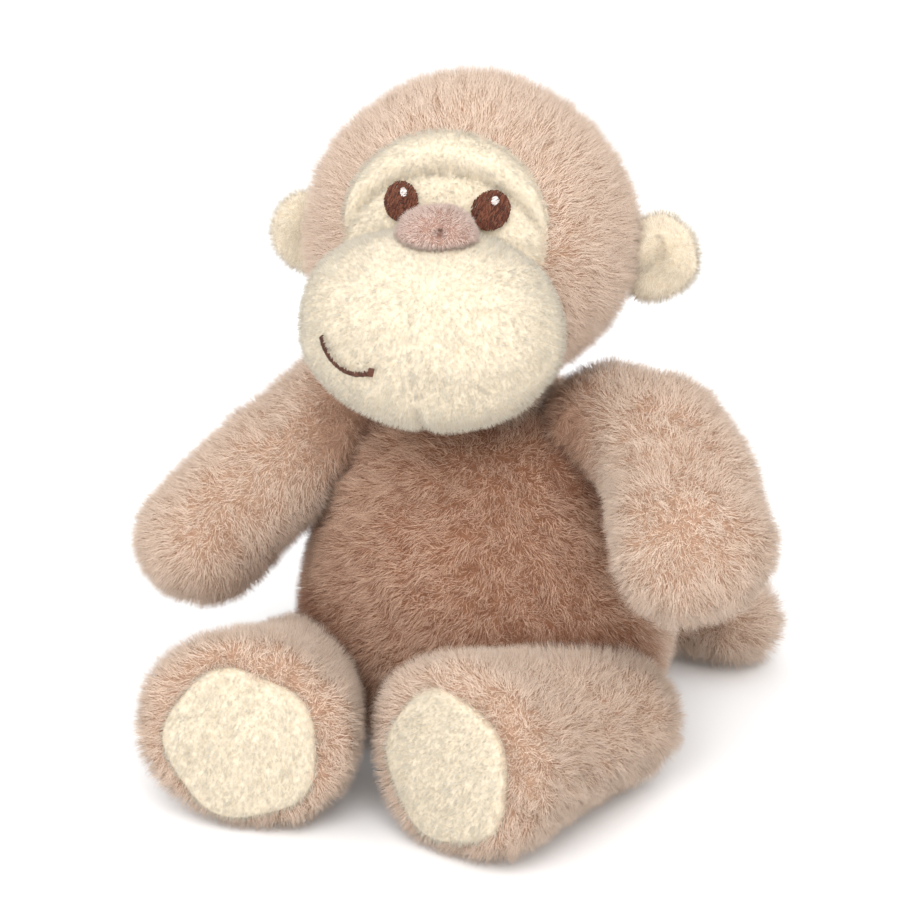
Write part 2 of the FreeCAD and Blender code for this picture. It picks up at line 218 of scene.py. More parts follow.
def soft_noise(points, size, seed, octaves=2):
    """Smooth values between about -1 and 1 that vary over size, from a few crossed waves."""
    source = np.random.default_rng(seed)
    total = np.zeros(len(points))
    for octave in range(octaves):
        for _ in range(6):
            way = unit(source.normal(size=3)) * (2 * math.pi / size) * (1.9 ** octave)
            way *= source.uniform(0.7, 1.3)
            total += np.sin(points @ way + source.uniform(0, 2 * math.pi)) / 6 * (0.6 ** octave)
    return total * 1.5


def profile_round(near, far, length):
    """A ball, a cone and a ball in a row, as evenly spaced (along, radius) points."""
    lean = math.asin((far - near) / length)
    turn = np.linspace(0, math.pi / 2 - lean, 40)
    start = np.stack([-near * np.cos(turn), near * np.sin(turn)], 1)
    turn = np.linspace(math.pi / 2 - lean, math.pi, 60)
    end = np.stack([length - far * np.cos(turn), far * np.sin(turn)], 1)
    return resample(np.concatenate([start, end]))


def resample(points, count=200):
    points = np.asarray(points, float)
    run = np.concatenate([[0], np.cumsum(np.linalg.norm(np.diff(points, axis=0), axis=1))])
    even = np.linspace(0, run[-1], count)
    return np.stack([np.interp(even, run, points[:, 0]), np.interp(even, run, points[:, 1])], 1)


def lathe(profile, n, origin, along, side, wide=1.0, tall=1.0):
    """A closed form about the axis along, from its (along, radius) profile. wide scales it along side."""
    ball, faces = cube_ball(n)
    share = np.arccos(np.clip(-ball[:, 0], -1, 1)) / math.pi
    place = np.linspace(0, 1, len(profile))
    run = np.interp(share, place, profile[:, 0])
    radius = np.interp(share, place, profile[:, 1])
    ring = unit(ball[:, 1:])
    along = unit(along)
    side = unit(np.asarray(side, float) - along * np.dot(side, along))
    up = np.cross(along, side)
    points = (np.asarray(origin, float) + run[:, None] * along + (radius * ring[:, 0] * wide)[:, None] * side
              + (radius * ring[:, 1] * tall)[:, None] * up)
    return points, outward(points, faces)


def outward(points, faces):
    """The faces of a closed form, turned to look out of it."""
    away = points[faces].mean(1) - points.mean(0)
    return faces if np.sum(face_normals(points, faces) * away) > 0 else faces[:, ::-1]


def face_normals(points, faces):
    a, b, c, d = (points[faces[:, i]] for i in range(4))
    return np.cross(c - a, d - b) / 2


def vertex_normals(points, faces):
    normals = np.zeros_like(points)
    flat = face_normals(points, faces)
    for i in range(4):
        np.add.at(normals, faces[:, i], flat)
    return unit(normals)


def swell(points, faces, height):
    return points + vertex_normals(points, faces) * np.asarray(height)[:, None]


# ---------------------------------------------------------------- meshes and pile

def new_mesh(name, points, faces, materials):
    mesh = bpy.data.meshes.new(name)
    faces = np.asarray(faces)
    mesh.vertices.add(len(points))
    mesh.vertices.foreach_set("co", (np.asarray(points) * MM).astype(np.float32).ravel())
    corners = faces.shape[1]
    mesh.loops.add(faces.size)
    mesh.loops.foreach_set("vertex_index", faces.astype(np.int32).ravel())
    mesh.polygons.add(len(faces))
    mesh.polygons.foreach_set("loop_start", np.arange(0, faces.size, corners, dtype=np.int32))
    mesh.polygons.foreach_set("use_smooth", np.full(len(faces), True))
    for material in materials:
        mesh.materials.append(material)
    mesh.update()
    piece = bpy.data.objects.new(name, mesh)
    bpy.context.collection.objects.link(piece)
    return piece


def sub_mesh(points, faces, keep):
    """The faces to keep, with only the points that they use."""
    faces = faces[keep]
    used, inverse = np.unique(faces, return_inverse=True)
    return points[used], inverse.reshape(faces.shape)


def scatter(points, faces, density, source):
    """Random places on four-sided faces, with their smooth normals.

    density has one value for each face, in places per square millimetre.
    """
    normals = vertex_normals(points, faces)
    corners = np.concatenate([faces[:, [0, 1, 2]], faces[:, [0, 2, 3]]])
    rate = np.concatenate([density, density])
    a, b, c = (points[corners[:, i]] for i in range(3))
    area = np.linalg.norm(np.cross(b - a, c - a), axis=1) / 2
    count = source.poisson(area * rate)
    pick = np.repeat(np.arange(len(corners)), count)
    u, v = source.random(len(pick)), source.random(len(pick))
    flip = u + v > 1
    u, v = np.where(flip, 1 - u, u), np.where(flip, 1 - v, v)
    w = 1 - u - v
    corner = corners[pick]
    place = sum(points[corner[:, i]] * s[:, None] for i, s in enumerate((w, u, v)))
    normal = unit(sum(normals[corner[:, i]] * s[:, None] for i, s in enumerate((w, u, v))))
    return place, normal


def cell_mean(place, values, size):
    """Each value's mean over the fibres in its cell of a wavy grid, which gathers them in tufts."""
    bent = place + np.stack([soft_noise(place, 9.0, 300 + k, 1) for k in range(3)], 1) * 2.0
    cell = np.floor(bent / size).astype(np.int64)
    cell -= cell.min(0)
    span = cell.max(0) + 1
    key = (cell[:, 0] * span[1] + cell[:, 1]) * span[2] + cell[:, 2]
    _, group = np.unique(key, return_inverse=True)
    group = group.reshape(-1)
    count = np.bincount(group)
    mean = np.stack([np.bincount(group, values[:, k]) / count for k in range(3)], 1)
    return mean[group]


# The lowest that a fibre's tip and a limb's cloth come, in millimetres above the floor.
LOWEST_TIP = 0.35
LOWEST_SKIN = 0.8
# How long the fibres of the under-coat are, as a share of the others.
UNDER_LENGTH = 0.58


def pile(name, points, faces, materials, comb, length, density, width, lean, rough, tuft, gather, under, sway,
         seed, mix=None):
    """Fibres rooted in a skin, as one mesh of slim three-sided spikes.

    comb gives the way that the fibres lie at each place, and lean is how far they lie over, in tangents.
    rough turns each fibre its own way, and sway turns neighbours together.
    gather draws the tips together in tufts as wide as tuft.
    length and width are in millimetres. density is a function of place, in fibres per square millimetre.
    under is the share of short fibres in the last and darkest tone, seen where the coat parts.
    mix gives, where materials holds sets of tones in a row, which set to take at each place: 1.3 is the
    second set for seven fibres in ten and the third set for the rest.
    """
    source = np.random.default_rng(seed)
    middle = points[faces].mean(1)
    root, normal = scatter(points, faces, density(middle), source)
    way = comb(root)
    way = way - normal * np.sum(way * normal, 1, keepdims=True)
    way = unit(way)
    drift = np.stack([soft_noise(root, 9.0, seed + 11 + k, 3) for k in range(3)], 1)
    jitter = source.normal(size=root.shape)
    aim = normal + way * lean + drift * sway + jitter * rough * 0.5
    aim = unit(aim)
    behind = np.sum(aim * normal, 1, keepdims=True) < 0.25
    aim = unit(np.where(behind, aim + normal * 0.5, aim))
    short = source.random(len(root)) < under
    size = length * source.uniform(0.85, 1.1, len(root)) * (1 + 0.07 * soft_noise(root, 8.0, seed + 5))
    size = np.where(short, size * UNDER_LENGTH, size)
    tip = root + aim * size[:, None]
    tip += (cell_mean(root, tip, tuft) - tip) * gather * source.uniform(0.5, 1.0, (len(root), 1))
    tip[:, 2] = np.maximum(tip[:, 2], LOWEST_TIP)
    aim = unit(tip - root)
    side = unit(np.cross(aim, source.normal(size=root.shape)))
    other = np.cross(aim, side)
    base = root - normal * 0.3
    base[:, 2] = np.maximum(base[:, 2], LOWEST_TIP / 2)
    thick = width * source.uniform(0.75, 1.25, (len(root), 1))
    corners, outward = [], []
    for k in range(3):
        angle = 2 * math.pi * k / 3
        spoke = side * math.cos(angle) + other * math.sin(angle)
        corners.append(base + spoke * thick)
        outward.append(unit(spoke * 0.55 + normal * 0.8))
    count = len(root)
    mesh_points = np.stack(corners + [tip], 1).reshape(-1, 3)
    mesh_normals = np.stack(outward + [unit(normal + aim * 0.4)], 1).reshape(-1, 3)
    start = np.arange(count) * 4
    mesh_faces = np.stack([np.stack([start + k, start + (k + 1) % 3, start + 3], 1) for k in range(3)], 1)
    piece = new_mesh(name, mesh_points, mesh_faces.reshape(-1, 3), materials)
    several = len(materials) if mix is None else len(BROWN)
    tone = np.where(short, several - 1, source.integers(several - 1, size=count))
    if mix is not None:
        chosen = np.floor(mix(root) + source.random(count))
        tone = tone + several * np.clip(chosen, 0, len(materials) // several - 1).astype(int)
    piece.data.polygons.foreach_set("material_index", np.repeat(tone, 3).astype(np.int32))
    piece.data.normals_split_custom_set_from_vertices(mesh_normals.astype(np.float32))
    return piece


make_camera()
make_studio()


# ---------------------------------------------------------------- the monkey's parts

LONG_COAT = dict(density=5.8, length=4.6, width=0.066, lean=0.4, gather=0.24, tuft=1.7, rough=0.7, sway=0.5,
                 under=0.36)
SHORT_COAT = dict(density=4.2, length=1.9, width=0.10, lean=0.4, gather=0.45, tuft=1.2, rough=0.5, sway=0.35,
                  under=0.3)

PILE_SHARE = 1.0
UP = np.array((0.0, 0.0, 1.0))
JOINT = {j["name"]: j for j in frame["joints"]}


def pivot(joint):
    return np.array(JOINT[joint]["pos_m"]) / MM


def everywhere(place):
    return np.full(len(place), True)


def dress(name, body, slot, points, faces, panels, cloth, tones_used, density, fill=0.7, **settings):
    """One stuffed form: a cloth skin and a coat of pile for each of its sewn panels.

    panels gives, for each panel's name, a test of place and the CAD nodes that the panel stands for.
    density is a number or a function of place, and settings are the other settings of the pile.
    """
    rate = density if callable(density) else (lambda place: np.full(len(place), float(density)))
    thinned = (lambda place: rate(place) * PILE_SHARE)
    middle = points[faces].mean(1)
    for k, (panel, (inside, nodes)) in enumerate(panels.items()):
        keep = inside(middle)
        panel_points, panel_faces = sub_mesh(points, faces, keep)
        skin = new_mesh(panel + "_cloth", panel_points, panel_faces, [cloth])
        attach(skin, body)
        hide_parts(*nodes)
        seed = sum(map(ord, name)) * 7 + k
        coat = pile(panel + "_pile", panel_points, panel_faces, tones_used, density=thinned, seed=seed,
                    **settings)
        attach(coat, body)


def stuffing(name, body, points, faces, depth, node):
    """The fibre filling inside a skin: the same form, a little smaller and lumpy."""
    lump = soft_noise(points, 11.0, sum(map(ord, name)), 2) * 0.5
    core = new_mesh(name, swell(points, faces, lump - depth), faces, [FIBRE_CLOTH])
    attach(core, body)
    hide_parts(node)


# Head: its own axes are right, forward and up.
HEAD_CENTRE = np.array((1.0, -4.0, 147.3))
HEAD_TURN = math.radians(10)
HEAD_RIGHT = np.array((math.cos(HEAD_TURN), math.sin(HEAD_TURN), 0))
HEAD_FORWARD = np.array((math.sin(HEAD_TURN), -math.cos(HEAD_TURN), 0))
HEAD_SKIN = np.array((42.2, 39.0, 40.8))
CROWN_NARROWING = 0.10
# How far the face's cloth stands out of the head's form.
FACE_GROWTH = 0.6
# Where the head's panels end under the cream face, and where the face ends, as shares of its outline.
PANEL_EDGE = 0.93
FACE_EDGE = 1.02
FACE_HALF_WIDE = 27.0
FACE_HALF_TALL = 24.9
FACE_MEAN_HALF = 26
FACE_MIDDLE = (-1.2, 7.6)


def on_head(local):
    local = np.asarray(local, float)
    return HEAD_CENTRE + local[..., 0:1] * HEAD_RIGHT + local[..., 1:2] * HEAD_FORWARD + local[..., 2:3] * UP


def to_head(points):
    away = points - HEAD_CENTRE
    return np.stack([away @ HEAD_RIGHT, away @ HEAD_FORWARD, away[:, 2]], 1)


def head_form(ball, grow=0.0):
    """The head's surface, in its own axes, toward each direction: a ball that narrows to its crown."""
    local = ball * (HEAD_SKIN + grow)
    crown = np.clip(local[:, 2] / HEAD_SKIN[2], 0, 1)
    cheek = np.exp(-((local[:, 2] + 16) / 14) ** 2)
    narrow = 1 - CROWN_NARROWING * crown ** 2 + 0.025 * cheek
    return np.stack([local[:, 0] * narrow - 1.2, local[:, 1] * narrow, local[:, 2]], 1)


def face_share(local):
    """Under 1 inside the cream face, over 1 outside it."""
    across, above = local[:, 0] - FACE_MIDDLE[0], local[:, 2] - FACE_MIDDLE[1]
    share = np.hypot(across / FACE_HALF_WIDE, above / FACE_HALF_TALL)
    return np.where(local[:, 1] > 0, share, 9.0)


def head_comb(points):
    """Pile on the head lies away from the face, over the crown and down the back."""
    local = to_head(points)
    way = local - np.array((0, 42.0, 0.0))
    way[:, 2] -= 14 * np.clip(-local[:, 1] / 40, 0, 1)
    return way[:, 0:1] * HEAD_RIGHT + way[:, 1:2] * HEAD_FORWARD + way[:, 2:3] * UP


def make_head():
    ball, faces = cube_ball(44)
    local = head_form(ball)
    points = on_head(local)
    faces = outward(points, faces)
    points = swell(points, faces, soft_noise(points, 38.0, 4) * 0.7)
    panels = {}
    for side, sign in (("left", 1), ("right", -1)):
        def inside(place, sign=sign):
            spot = to_head(place)
            return (spot[:, 0] * sign > 0) & (face_share(spot) > PANEL_EDGE)
        panels[f"head_{side}_panel"] = (inside, [f"head_{side}_panel"])
    dress("head", "head", "brown_pile", points, faces, panels, BROWN_CLOTH, BROWN, fill=0.85,
          comb=head_comb, **LONG_COAT)
    stuffing("head_stuffing", "head", points, faces, 2.2, "head_filling")
    make_face()
    make_muzzle()
    make_nose()
    make_eye("left")
    make_eye("right")
    make_mouth()


BROW_LINE = np.array((-0.5, -5.8))
BROW_LINE_RADIUS = 29.9
BROW_HEIGHT = 4.3


def brow_place(local):
    """Distance outside the crease under the brow, and distance inside the cream patch's edge."""
    above = np.hypot(local[:, 0] - BROW_LINE[0], local[:, 2] - BROW_LINE[1]) - BROW_LINE_RADIUS
    below = (1 - face_share(local)) * FACE_MEAN_HALF
    return above, below


def brow_rise(local):
    """How far the padded brow stands off the face: a rounded band above a crease, thin at its two ends."""
    above, below = brow_place(local)
    wide = np.maximum(above, 0) + np.maximum(below, 0)
    share = np.clip(above / np.maximum(wide, 0.1), 0, 1)
    high = BROW_HEIGHT * np.clip(wide / 9, 0, 1) ** 0.8
    ridge = high * np.sin(math.pi * share ** 0.8) ** 0.75
    side = 1 / (1 + np.exp(-(local[:, 2] - 5) / 2.5))
    crease = 0.9 * np.exp(-(above / 1.4) ** 2)
    return (ridge - crease) * side


def make_face():
    """The cream face and its padded brow, on the front of the head."""
    ball, faces = cube_ball(100)
    local = head_form(ball, grow=FACE_GROWTH)
    middle = local[faces].mean(1)
    keep = face_share(middle) < FACE_EDGE
    local, faces = sub_mesh(local, faces, keep)
    away = unit(local)
    middle = local[faces].mean(1)
    brow_faces = (brow_place(middle)[0] > 0) & (middle[:, 2] > 6)
    local = local + away * brow_rise(local)[:, None]
    points = on_head(local)
    if np.dot(face_normals(points, faces).mean(0), HEAD_FORWARD) < 0:
        faces = faces[:, ::-1]
    comb = (lambda place: (to_head(place)[:, 0:1] * HEAD_RIGHT * 0.6 - UP * 14 - HEAD_FORWARD * 2))
    panels = {"brow_roll": (lambda place: brow_faces, ["brow_roll"]),
              "face_panel": (lambda place: ~brow_faces, ["face_panel"])}
    dress("face", "head", "cream_velour", points, faces, panels, CREAM_CLOTH, CREAM, fill=0.6, comb=comb,
          **SHORT_COAT)


MUZZLE_CENTRE = np.array((-1.3, 43.0, -14.5))
MUZZLE_SKIN = np.array((33.9, 22.0, 26.0))
# The muzzle's cover ends inside the head, this far forward of its middle.
MUZZLE_BACK = 26


def muzzle_form(ball):
    """The padded muzzle in the head's axes: wide, with a middle seam and a dart at the chin."""
    power = 0.94 - 0.14 * np.clip(ball[:, 2:3] * 2, 0, 1)
    square = np.sign(ball) * np.abs(ball) ** power
    local = square / np.linalg.norm(square, axis=1, keepdims=True) ** 0.6 * MUZZLE_SKIN
    low = np.clip(-ball[:, 2], 0, 1)
    local[:, 1] *= 1 - 0.05 * low
    dart = np.exp(-(local[:, 0] / 1.3) ** 2) * np.clip((-local[:, 2] - 15) / 8, 0, 1) * (ball[:, 1] > -0.2)
    seam = np.exp(-(local[:, 0] / 0.9) ** 2) * (ball[:, 1] > 0)
    local -= unit(local) * (1.4 * dart + 0.45 * seam)[:, None]
    return local + MUZZLE_CENTRE


def make_muzzle():
    ball, faces = cube_ball(60)
    points = on_head(muzzle_form(ball))
    faces = outward(points, faces)
    points = swell(points, faces, soft_noise(points, 24.0, 9) * 0.4)
    panels = {"muzzle_cover": (lambda place: to_head(place)[:, 1] > MUZZLE_BACK, ["muzzle_cover"])}
    comb = (lambda place: (place - on_head(MUZZLE_CENTRE + np.array((0, 20, 12))[None])) - UP * 10)
    dress("muzzle", "head", "cream_velour", points, faces, panels, CREAM_CLOTH, CREAM, fill=0.85,
          comb=comb, **SHORT_COAT)
    stuffing("muzzle_stuffing", "head", points, faces, 1.6, "muzzle_filling")


NOSE_CENTRE = np.array((0.9, 45.6, 13.0))
NOSE_SKIN = np.array((9.6, 9.1, 5.6))
# Sideways place and depth of each nostril, and their height.
NOSTRILS = ((-3.6, 0.9), (2.6, 3.4))
NOSTRIL_HEIGHT = 1.2
NOSE_COAT = dict(length=1.7, width=0.09, lean=0.6, gather=0.35, tuft=1.0, rough=0.8, sway=0.6, under=0.3)
NOSE_DENSITY = 10.0


def make_nose():
    """A small pile dome with a dimple for the nostrils."""
    ball, faces = cube_ball(24)
    local = ball * NOSE_SKIN
    low = np.clip(-ball[:, 2], 0, 1)
    local[:, 0] *= 1 + 0.10 * np.exp(-((ball[:, 2] + 0.35) / 0.3) ** 2) - 0.06 * np.clip(ball[:, 2], 0, 1)
    local[:, 2] += 1.3 * low ** 2
    for x, deep in NOSTRILS:
        dimple = np.exp(-(((local[:, 0] - x) / 1.3) ** 2 + ((local[:, 2] - NOSTRIL_HEIGHT) / 1.1) ** 2))
        local[:, 1] -= deep * (dimple * (ball[:, 1] > 0))
    points = on_head(local + NOSE_CENTRE)
    faces = outward(points, faces)
    comb = (lambda place: (place - on_head(NOSE_CENTRE[None])) * 0.6 - UP * 3)

    def rate(place):
        spot = to_head(place) - NOSE_CENTRE
        hole = np.hypot(spot[:, 0] - NOSTRILS[1][0], spot[:, 2] - NOSTRIL_HEIGHT) < 1.1
        return np.where(hole & (spot[:, 1] > 0), 0.0, NOSE_DENSITY)

    dress("nose", "head", "nose_pile", points, faces, {"nose": (everywhere, ["nose"])}, NOSE_CLOTH, NOSE,
          fill=0.8, density=rate, comb=comb, **NOSE_COAT)


THREAD_SIDES = 6
THREAD_FLATNESS = 0.75


def thread_bundle(name, lines, radius, materials, node):
    """Many short threads on the head as one mesh.

    Each is a closed flattened tube along its line of points. A line comes with the ways out of the cloth.
    """
    points, faces = [], []
    sides = THREAD_SIDES
    start = 0
    for line, lifted in lines:
        line = np.asarray(line, float)
        count = len(line)
        along = unit(np.gradient(line, axis=0))
        out = unit(np.asarray(lifted, float))
        across = unit(np.cross(along, out))
        lift = np.cross(across, along)
        thick = radius * np.sqrt(np.clip(1 - (np.linspace(-1, 1, count)) ** 8, 0.05, 1))[:, None]
        for k in range(sides):
            angle = 2 * math.pi * k / sides
            points.append(line + (across * math.cos(angle) + lift * math.sin(angle) * THREAD_FLATNESS) * thick)
        ring = np.arange(count)
        for k in range(sides):
            a, b = start + k * count, start + ((k + 1) % sides) * count
            faces.append(np.stack([a + ring[:-1], a + ring[1:], b + ring[1:], b + ring[:-1]], 1))
        ends = start + np.arange(sides) * count
        faces.append(np.array([[ends[0], ends[1], ends[2], ends[3]], [ends[0], ends[3], ends[4], ends[5]]]))
        ends = ends + count - 1
        faces.append(np.array([[ends[3], ends[2], ends[1], ends[0]], [ends[5], ends[4], ends[3], ends[0]]]))
        start += sides * count
    piece = new_mesh(name, np.concatenate(points), np.concatenate(faces), materials)
    source = np.random.default_rng(len(lines))
    tone = np.concatenate([np.full(sum(len(f) for f in faces[k * (sides + 2):(k + 1) * (sides + 2)]),
                                   source.integers(len(materials))) for k in range(len(lines))])
    piece.data.polygons.foreach_set("material_index", tone.astype(np.int32))
    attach(piece, "head")
    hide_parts(node)


EYE_PLACE = {"left": (12.1, 15.4), "right": (-10.6, 16.2)}
EYE_RADIUS = 4.6
GLINT_RADIUS = 0.9


def face_surface(x, z, stand):
    """Points on the head's front, in its own axes, at the given sideways and upward places."""
    x, z = np.broadcast_arrays(np.asarray(x, float), np.asarray(z, float))
    crown = np.clip(z / HEAD_SKIN[2], 0, 1)
    narrow = 1 - CROWN_NARROWING * crown ** 2
    wide, deep, tall = HEAD_SKIN + FACE_GROWTH
    wide, deep = wide * narrow, deep * narrow
    forward = deep * np.sqrt(np.clip(1 - (x / wide) ** 2 - (z / tall) ** 2, 0.01, 1))
    local = np.stack([x, forward, z], -1)
    away = unit(local / HEAD_SKIN ** 2)
    return local + away * stand, away


def stitched_disc(name, x, z, radius, pitch, thread, stand, materials, node, slant=0.35, stitch=1.2):
    """A filled round of short satin stitches, end to end in close rows, that follows the face."""
    source = np.random.default_rng(int(x * 10) + 900)
    lines = []
    for row in np.arange(-radius + pitch / 2, radius, pitch):
        half = math.sqrt(radius ** 2 - row ** 2)
        ends = np.arange(-half - source.uniform(0, stitch), half + stitch, stitch)
        ends = np.unique(np.clip(ends, -half, half))
        for first, last in zip(ends[:-1], ends[1:]):
            run = np.linspace(first, last + min(0.3, half - last), 7)
            wander = source.uniform(-0.12, 0.12) + np.linspace(-1, 1, 7) * source.uniform(-0.12, 0.12)
            bow = 0.16 * (1 - np.linspace(-1, 1, 7) ** 2)
            dome = stand + bow + 0.5 * np.sqrt(np.clip(1 - (run ** 2 + row ** 2) / radius ** 2, 0, 1))
            dx = run * math.sin(slant) + (row + wander) * math.cos(slant)
            dz = run * math.cos(slant) - (row + wander) * math.sin(slant)
            local, away = face_surface(x + dx, z + dz, 0.0)
            local = local + away * dome[:, None]
            world = on_head(local)
            lines.append((world, on_head(local + away) - world))
    thread_bundle(name, lines, thread, materials, node)


def make_eye(side):
    x, z = EYE_PLACE[side]
    stitched_disc("eye_" + side, x, z, EYE_RADIUS, pitch=0.27, thread=0.19, stand=1.7,
                  materials=EYE_THREADS, node="eye_" + side)
    stitched_disc("eye_glint_" + side, x + 0.75, z + 2.1, GLINT_RADIUS, pitch=0.30, thread=0.2, stand=2.3,
                  materials=GLINT_THREADS, node="eye_glint_" + side, slant=1.1, stitch=0.8)


# The mouth line's two ends and middle, sideways and upward, and its threads' radius.
MOUTH_POINTS = np.array(((-24.9, -13.2), (-18.9, -20.2), (-11.7, -19.8)))
MOUTH_THREAD = 0.24


def make_mouth():
    """One smile line of short slanted stitches on the muzzle's right side."""
    (x0, z0), (x1, z1), (x2, z2) = MOUTH_POINTS
    d = 2 * (x0 * (z1 - z2) + x1 * (z2 - z0) + x2 * (z0 - z1))
    s0, s1, s2 = x0 ** 2 + z0 ** 2, x1 ** 2 + z1 ** 2, x2 ** 2 + z2 ** 2
    cx = (s0 * (z1 - z2) + s1 * (z2 - z0) + s2 * (z0 - z1)) / d
    cz = (s0 * (x2 - x1) + s1 * (x0 - x2) + s2 * (x1 - x0)) / d
    radius = math.hypot(x0 - cx, z0 - cz)
    first, last = math.atan2(z0 - cz, x0 - cx), math.atan2(z2 - cz, x2 - cx)
    if last < first:
        last += 2 * math.pi
    lines = []
    source = np.random.default_rng(77)
    for angle in np.linspace(first, last, 40):
        slant = 0.6 + source.uniform(-0.25, 0.25)
        out = np.linspace(-0.72, 0.72, 7) * source.uniform(0.82, 1.1) + source.uniform(-0.14, 0.14)
        turn = angle + out * slant / radius
        x, z = cx + (radius + out) * np.cos(turn), cz + (radius + out) * np.sin(turn)
        lines.append(muzzle_line(x, z, 1.5 + 0.35 * (1 - (out / 0.75) ** 2)))
    tick = np.linspace(-1.0, 1.0, 7)
    for shift in np.linspace(0, 1.2, 5):
        lines.append(muzzle_line(x2 + shift + tick * 0.35, z2 + 0.2 + tick * 1.3, 1.6))
    thread_bundle("mouth_stitch", lines, MOUTH_THREAD, MOUTH_THREADS, "mouth_stitch")


def muzzle_line(x, z, stand):
    """A line of points on the muzzle's front, and which way is out of it there."""
    a, b, c = MUZZLE_SKIN
    dx, dz = x - MUZZLE_CENTRE[0], z - MUZZLE_CENTRE[2]
    forward = b * np.sqrt(np.clip(1 - (dx / a) ** 2 - (dz / c) ** 2, 0.02, 1))
    local = np.stack([dx, forward, dz], 1)
    away = unit(local / MUZZLE_SKIN ** 2)
    local = local + away * np.asarray(stand).reshape(-1, 1) + MUZZLE_CENTRE
    world = on_head(local)
    return world, on_head(local + away) - world


# Ears
EAR_WIDE = 9.6
EAR_TALL = 11.6
EAR_MIDDLE = np.array((49.0, -9.0, -6.6))
EAR_COAT = SHORT_COAT | dict(length=2.7, tuft=1.4, gather=0.12, width=0.08, rough=0.9, density=9.0)


def make_ear(side, sign):
    """A cupped disc, drawn to a root at the head: a puffy rim, a hollow and a fold over its top."""
    ball, faces = cube_ball(30)
    across, above = ball[:, 0], ball[:, 2]
    local = ball * np.array((EAR_WIDE, 4.4, EAR_TALL))
    reach = np.hypot(across, above)
    front = ball[:, 1] > 0
    hollow = np.exp(-(((across + 0.05) / 0.36) ** 2 + ((above + 0.2) / 0.42) ** 2))
    fold = np.exp(-(((across + 0.55) / 0.36) ** 2 + ((above - 0.25) / 0.42) ** 2))
    groove = np.exp(-((np.hypot(across + 0.55, above - 0.30) - 0.58) / 0.10) ** 2) * (above < 0.55)
    local[:, 1] += np.where(front, 2.0 * fold - 1.9 * hollow - 0.7 * groove, -0.8 * hollow)
    local[:, 1] += 2.2 * reach ** 2 * np.clip(across, 0, 1)
    local[:, 0] -= 3.5 * np.clip(-above, 0, 1) ** 2
    local[:, 0] = np.where(across < -0.3, local[:, 0] * 1.25 + 0.075 * EAR_WIDE, local[:, 0])
    local = local + unit(local) * (soft_noise(local, 9.0, 60 + sign, 1) * 0.35)[:, None]
    place = (EAR_MIDDLE + local) * np.array((sign, 1, 1))
    points = on_head(place)
    faces = outward(points, faces)
    is_front = (lambda spot: to_head(spot)[:, 1] > EAR_MIDDLE[1] - 0.2)
    panels = {f"ear_{side}_front": (is_front, [f"ear_{side}_front"]),
              f"ear_{side}_back": (lambda spot: ~is_front(spot), [f"ear_{side}_back"])}
    comb = (lambda spot: spot - on_head((EAR_MIDDLE * np.array((sign, 1, 1)))[None]))
    dress("ear_" + side, "ear_" + side, "cream_velour", points, faces, panels, CREAM_CLOTH, LIT_EAR_TONES,
          fill=0.3, comb=comb, **EAR_COAT)


# Torso
TORSO_MIDDLE_Y = 7.5
# Height and radius, from the seat to the neck.
TORSO_OUTLINE = np.array([(1.2, 0), (1.2, 22), (3.5, 34), (11, 42.5), (23, 48), (36, 50), (48, 48.5),
                          (60, 44.5), (72, 40.5), (82, 37), (90, 32), (95.5, 24), (98, 13), (98.5, 0)])
# Middle of a painted shadow of the left arm on the belly, partly a darker nap.
LAP_SHADE = np.array((30.0, -36.0, 42.0))


def torso_tones(place):
    """Which set of tones the torso takes: 0 is the darkest, painted shade in creases, 1 the painted half shade
    over the front, and 2 is the back's plain brown.
    """
    back = np.clip((place[:, 1] + 14) / 34, 0, 1) * np.clip(place[:, 2] / 20, 0.3, 1)
    # Painted shade: the darkest tones in the creases beside the arms and legs.
    crease = np.zeros(len(place))
    for side in ("left", "right"):
        arm, leg = pivot("shoulder_" + side), pivot("hip_" + side)
        by_arm = near_line(place, arm, unit(np.array(ARM_AIM[side])), length=45, radius=16.5, fade=8)
        by_leg = near_line(place, leg, unit(SOLE[side] - leg), length=45, radius=20.5, fade=8)
        crease = np.maximum(crease, np.maximum(by_arm, by_leg))
    # Painted shadow of the arm on the belly, partly a darker nap.
    lap_shadow_and_nap = np.exp(-(np.linalg.norm(place - LAP_SHADE, axis=1) / 17) ** 2)
    patches = soft_noise(place * np.array((1, 1, 1.5)), 8.0, 88, 3) * 0.8 - 0.1
    mottle = np.clip(patches, 0, 0.55) * (1 - back)
    return 1 + back - 0.9 * crease - 0.45 * lap_shadow_and_nap - mottle


def make_torso():
    points, faces = lathe(smooth_outline(TORSO_OUTLINE), 46, (0, TORSO_MIDDLE_Y, 0), UP, (1, 0, 0), wide=1.04,
                          tall=0.97)
    points = swell(points, faces, soft_noise(points, 45.0, 21) * 0.8 * np.clip(points[:, 2] / 20, 0, 1))
    points[:, 2] = np.maximum(points[:, 2], 1.0)
    front = (lambda place: place[:, 1] < TORSO_MIDDLE_Y)
    comb = (lambda place: np.tile((-0.25, 0.0, -1.0), (len(place), 1)))
    panels = {"torso_front_panel": (front, ["torso_front_panel"]),
              "torso_back_panel": (lambda place: ~front(place), ["torso_back_panel"])}
    dress("torso", "torso", "brown_pile", points, faces, panels, SHADED_BACKING, SHADE + HALF_SHADE + BROWN,
          fill=0.75, comb=comb, mix=torso_tones, **LONG_COAT)
    stuffing("torso_stuffing", "torso", points, faces, 2.4, "torso_filling")


def near_line(place, start, along, length, radius, fade):
    """1 within radius of a line, falling to 0 at fade beyond it."""
    run = np.clip((place - start) @ along, 0, length)
    away = np.linalg.norm(place - start - run[:, None] * along, axis=1)
    return np.clip(1 - (away - radius) / fade, 0, 1)


def smooth_outline(points):
    """A closed form's outline with its corners rounded off, evenly spaced."""
    run = resample(points, 160)
    for _ in range(40):
        run[1:-1] = (run[:-2] + 2 * run[1:-1] + run[2:]) / 4
    return resample(run)


NECK_SKIN = 18.2


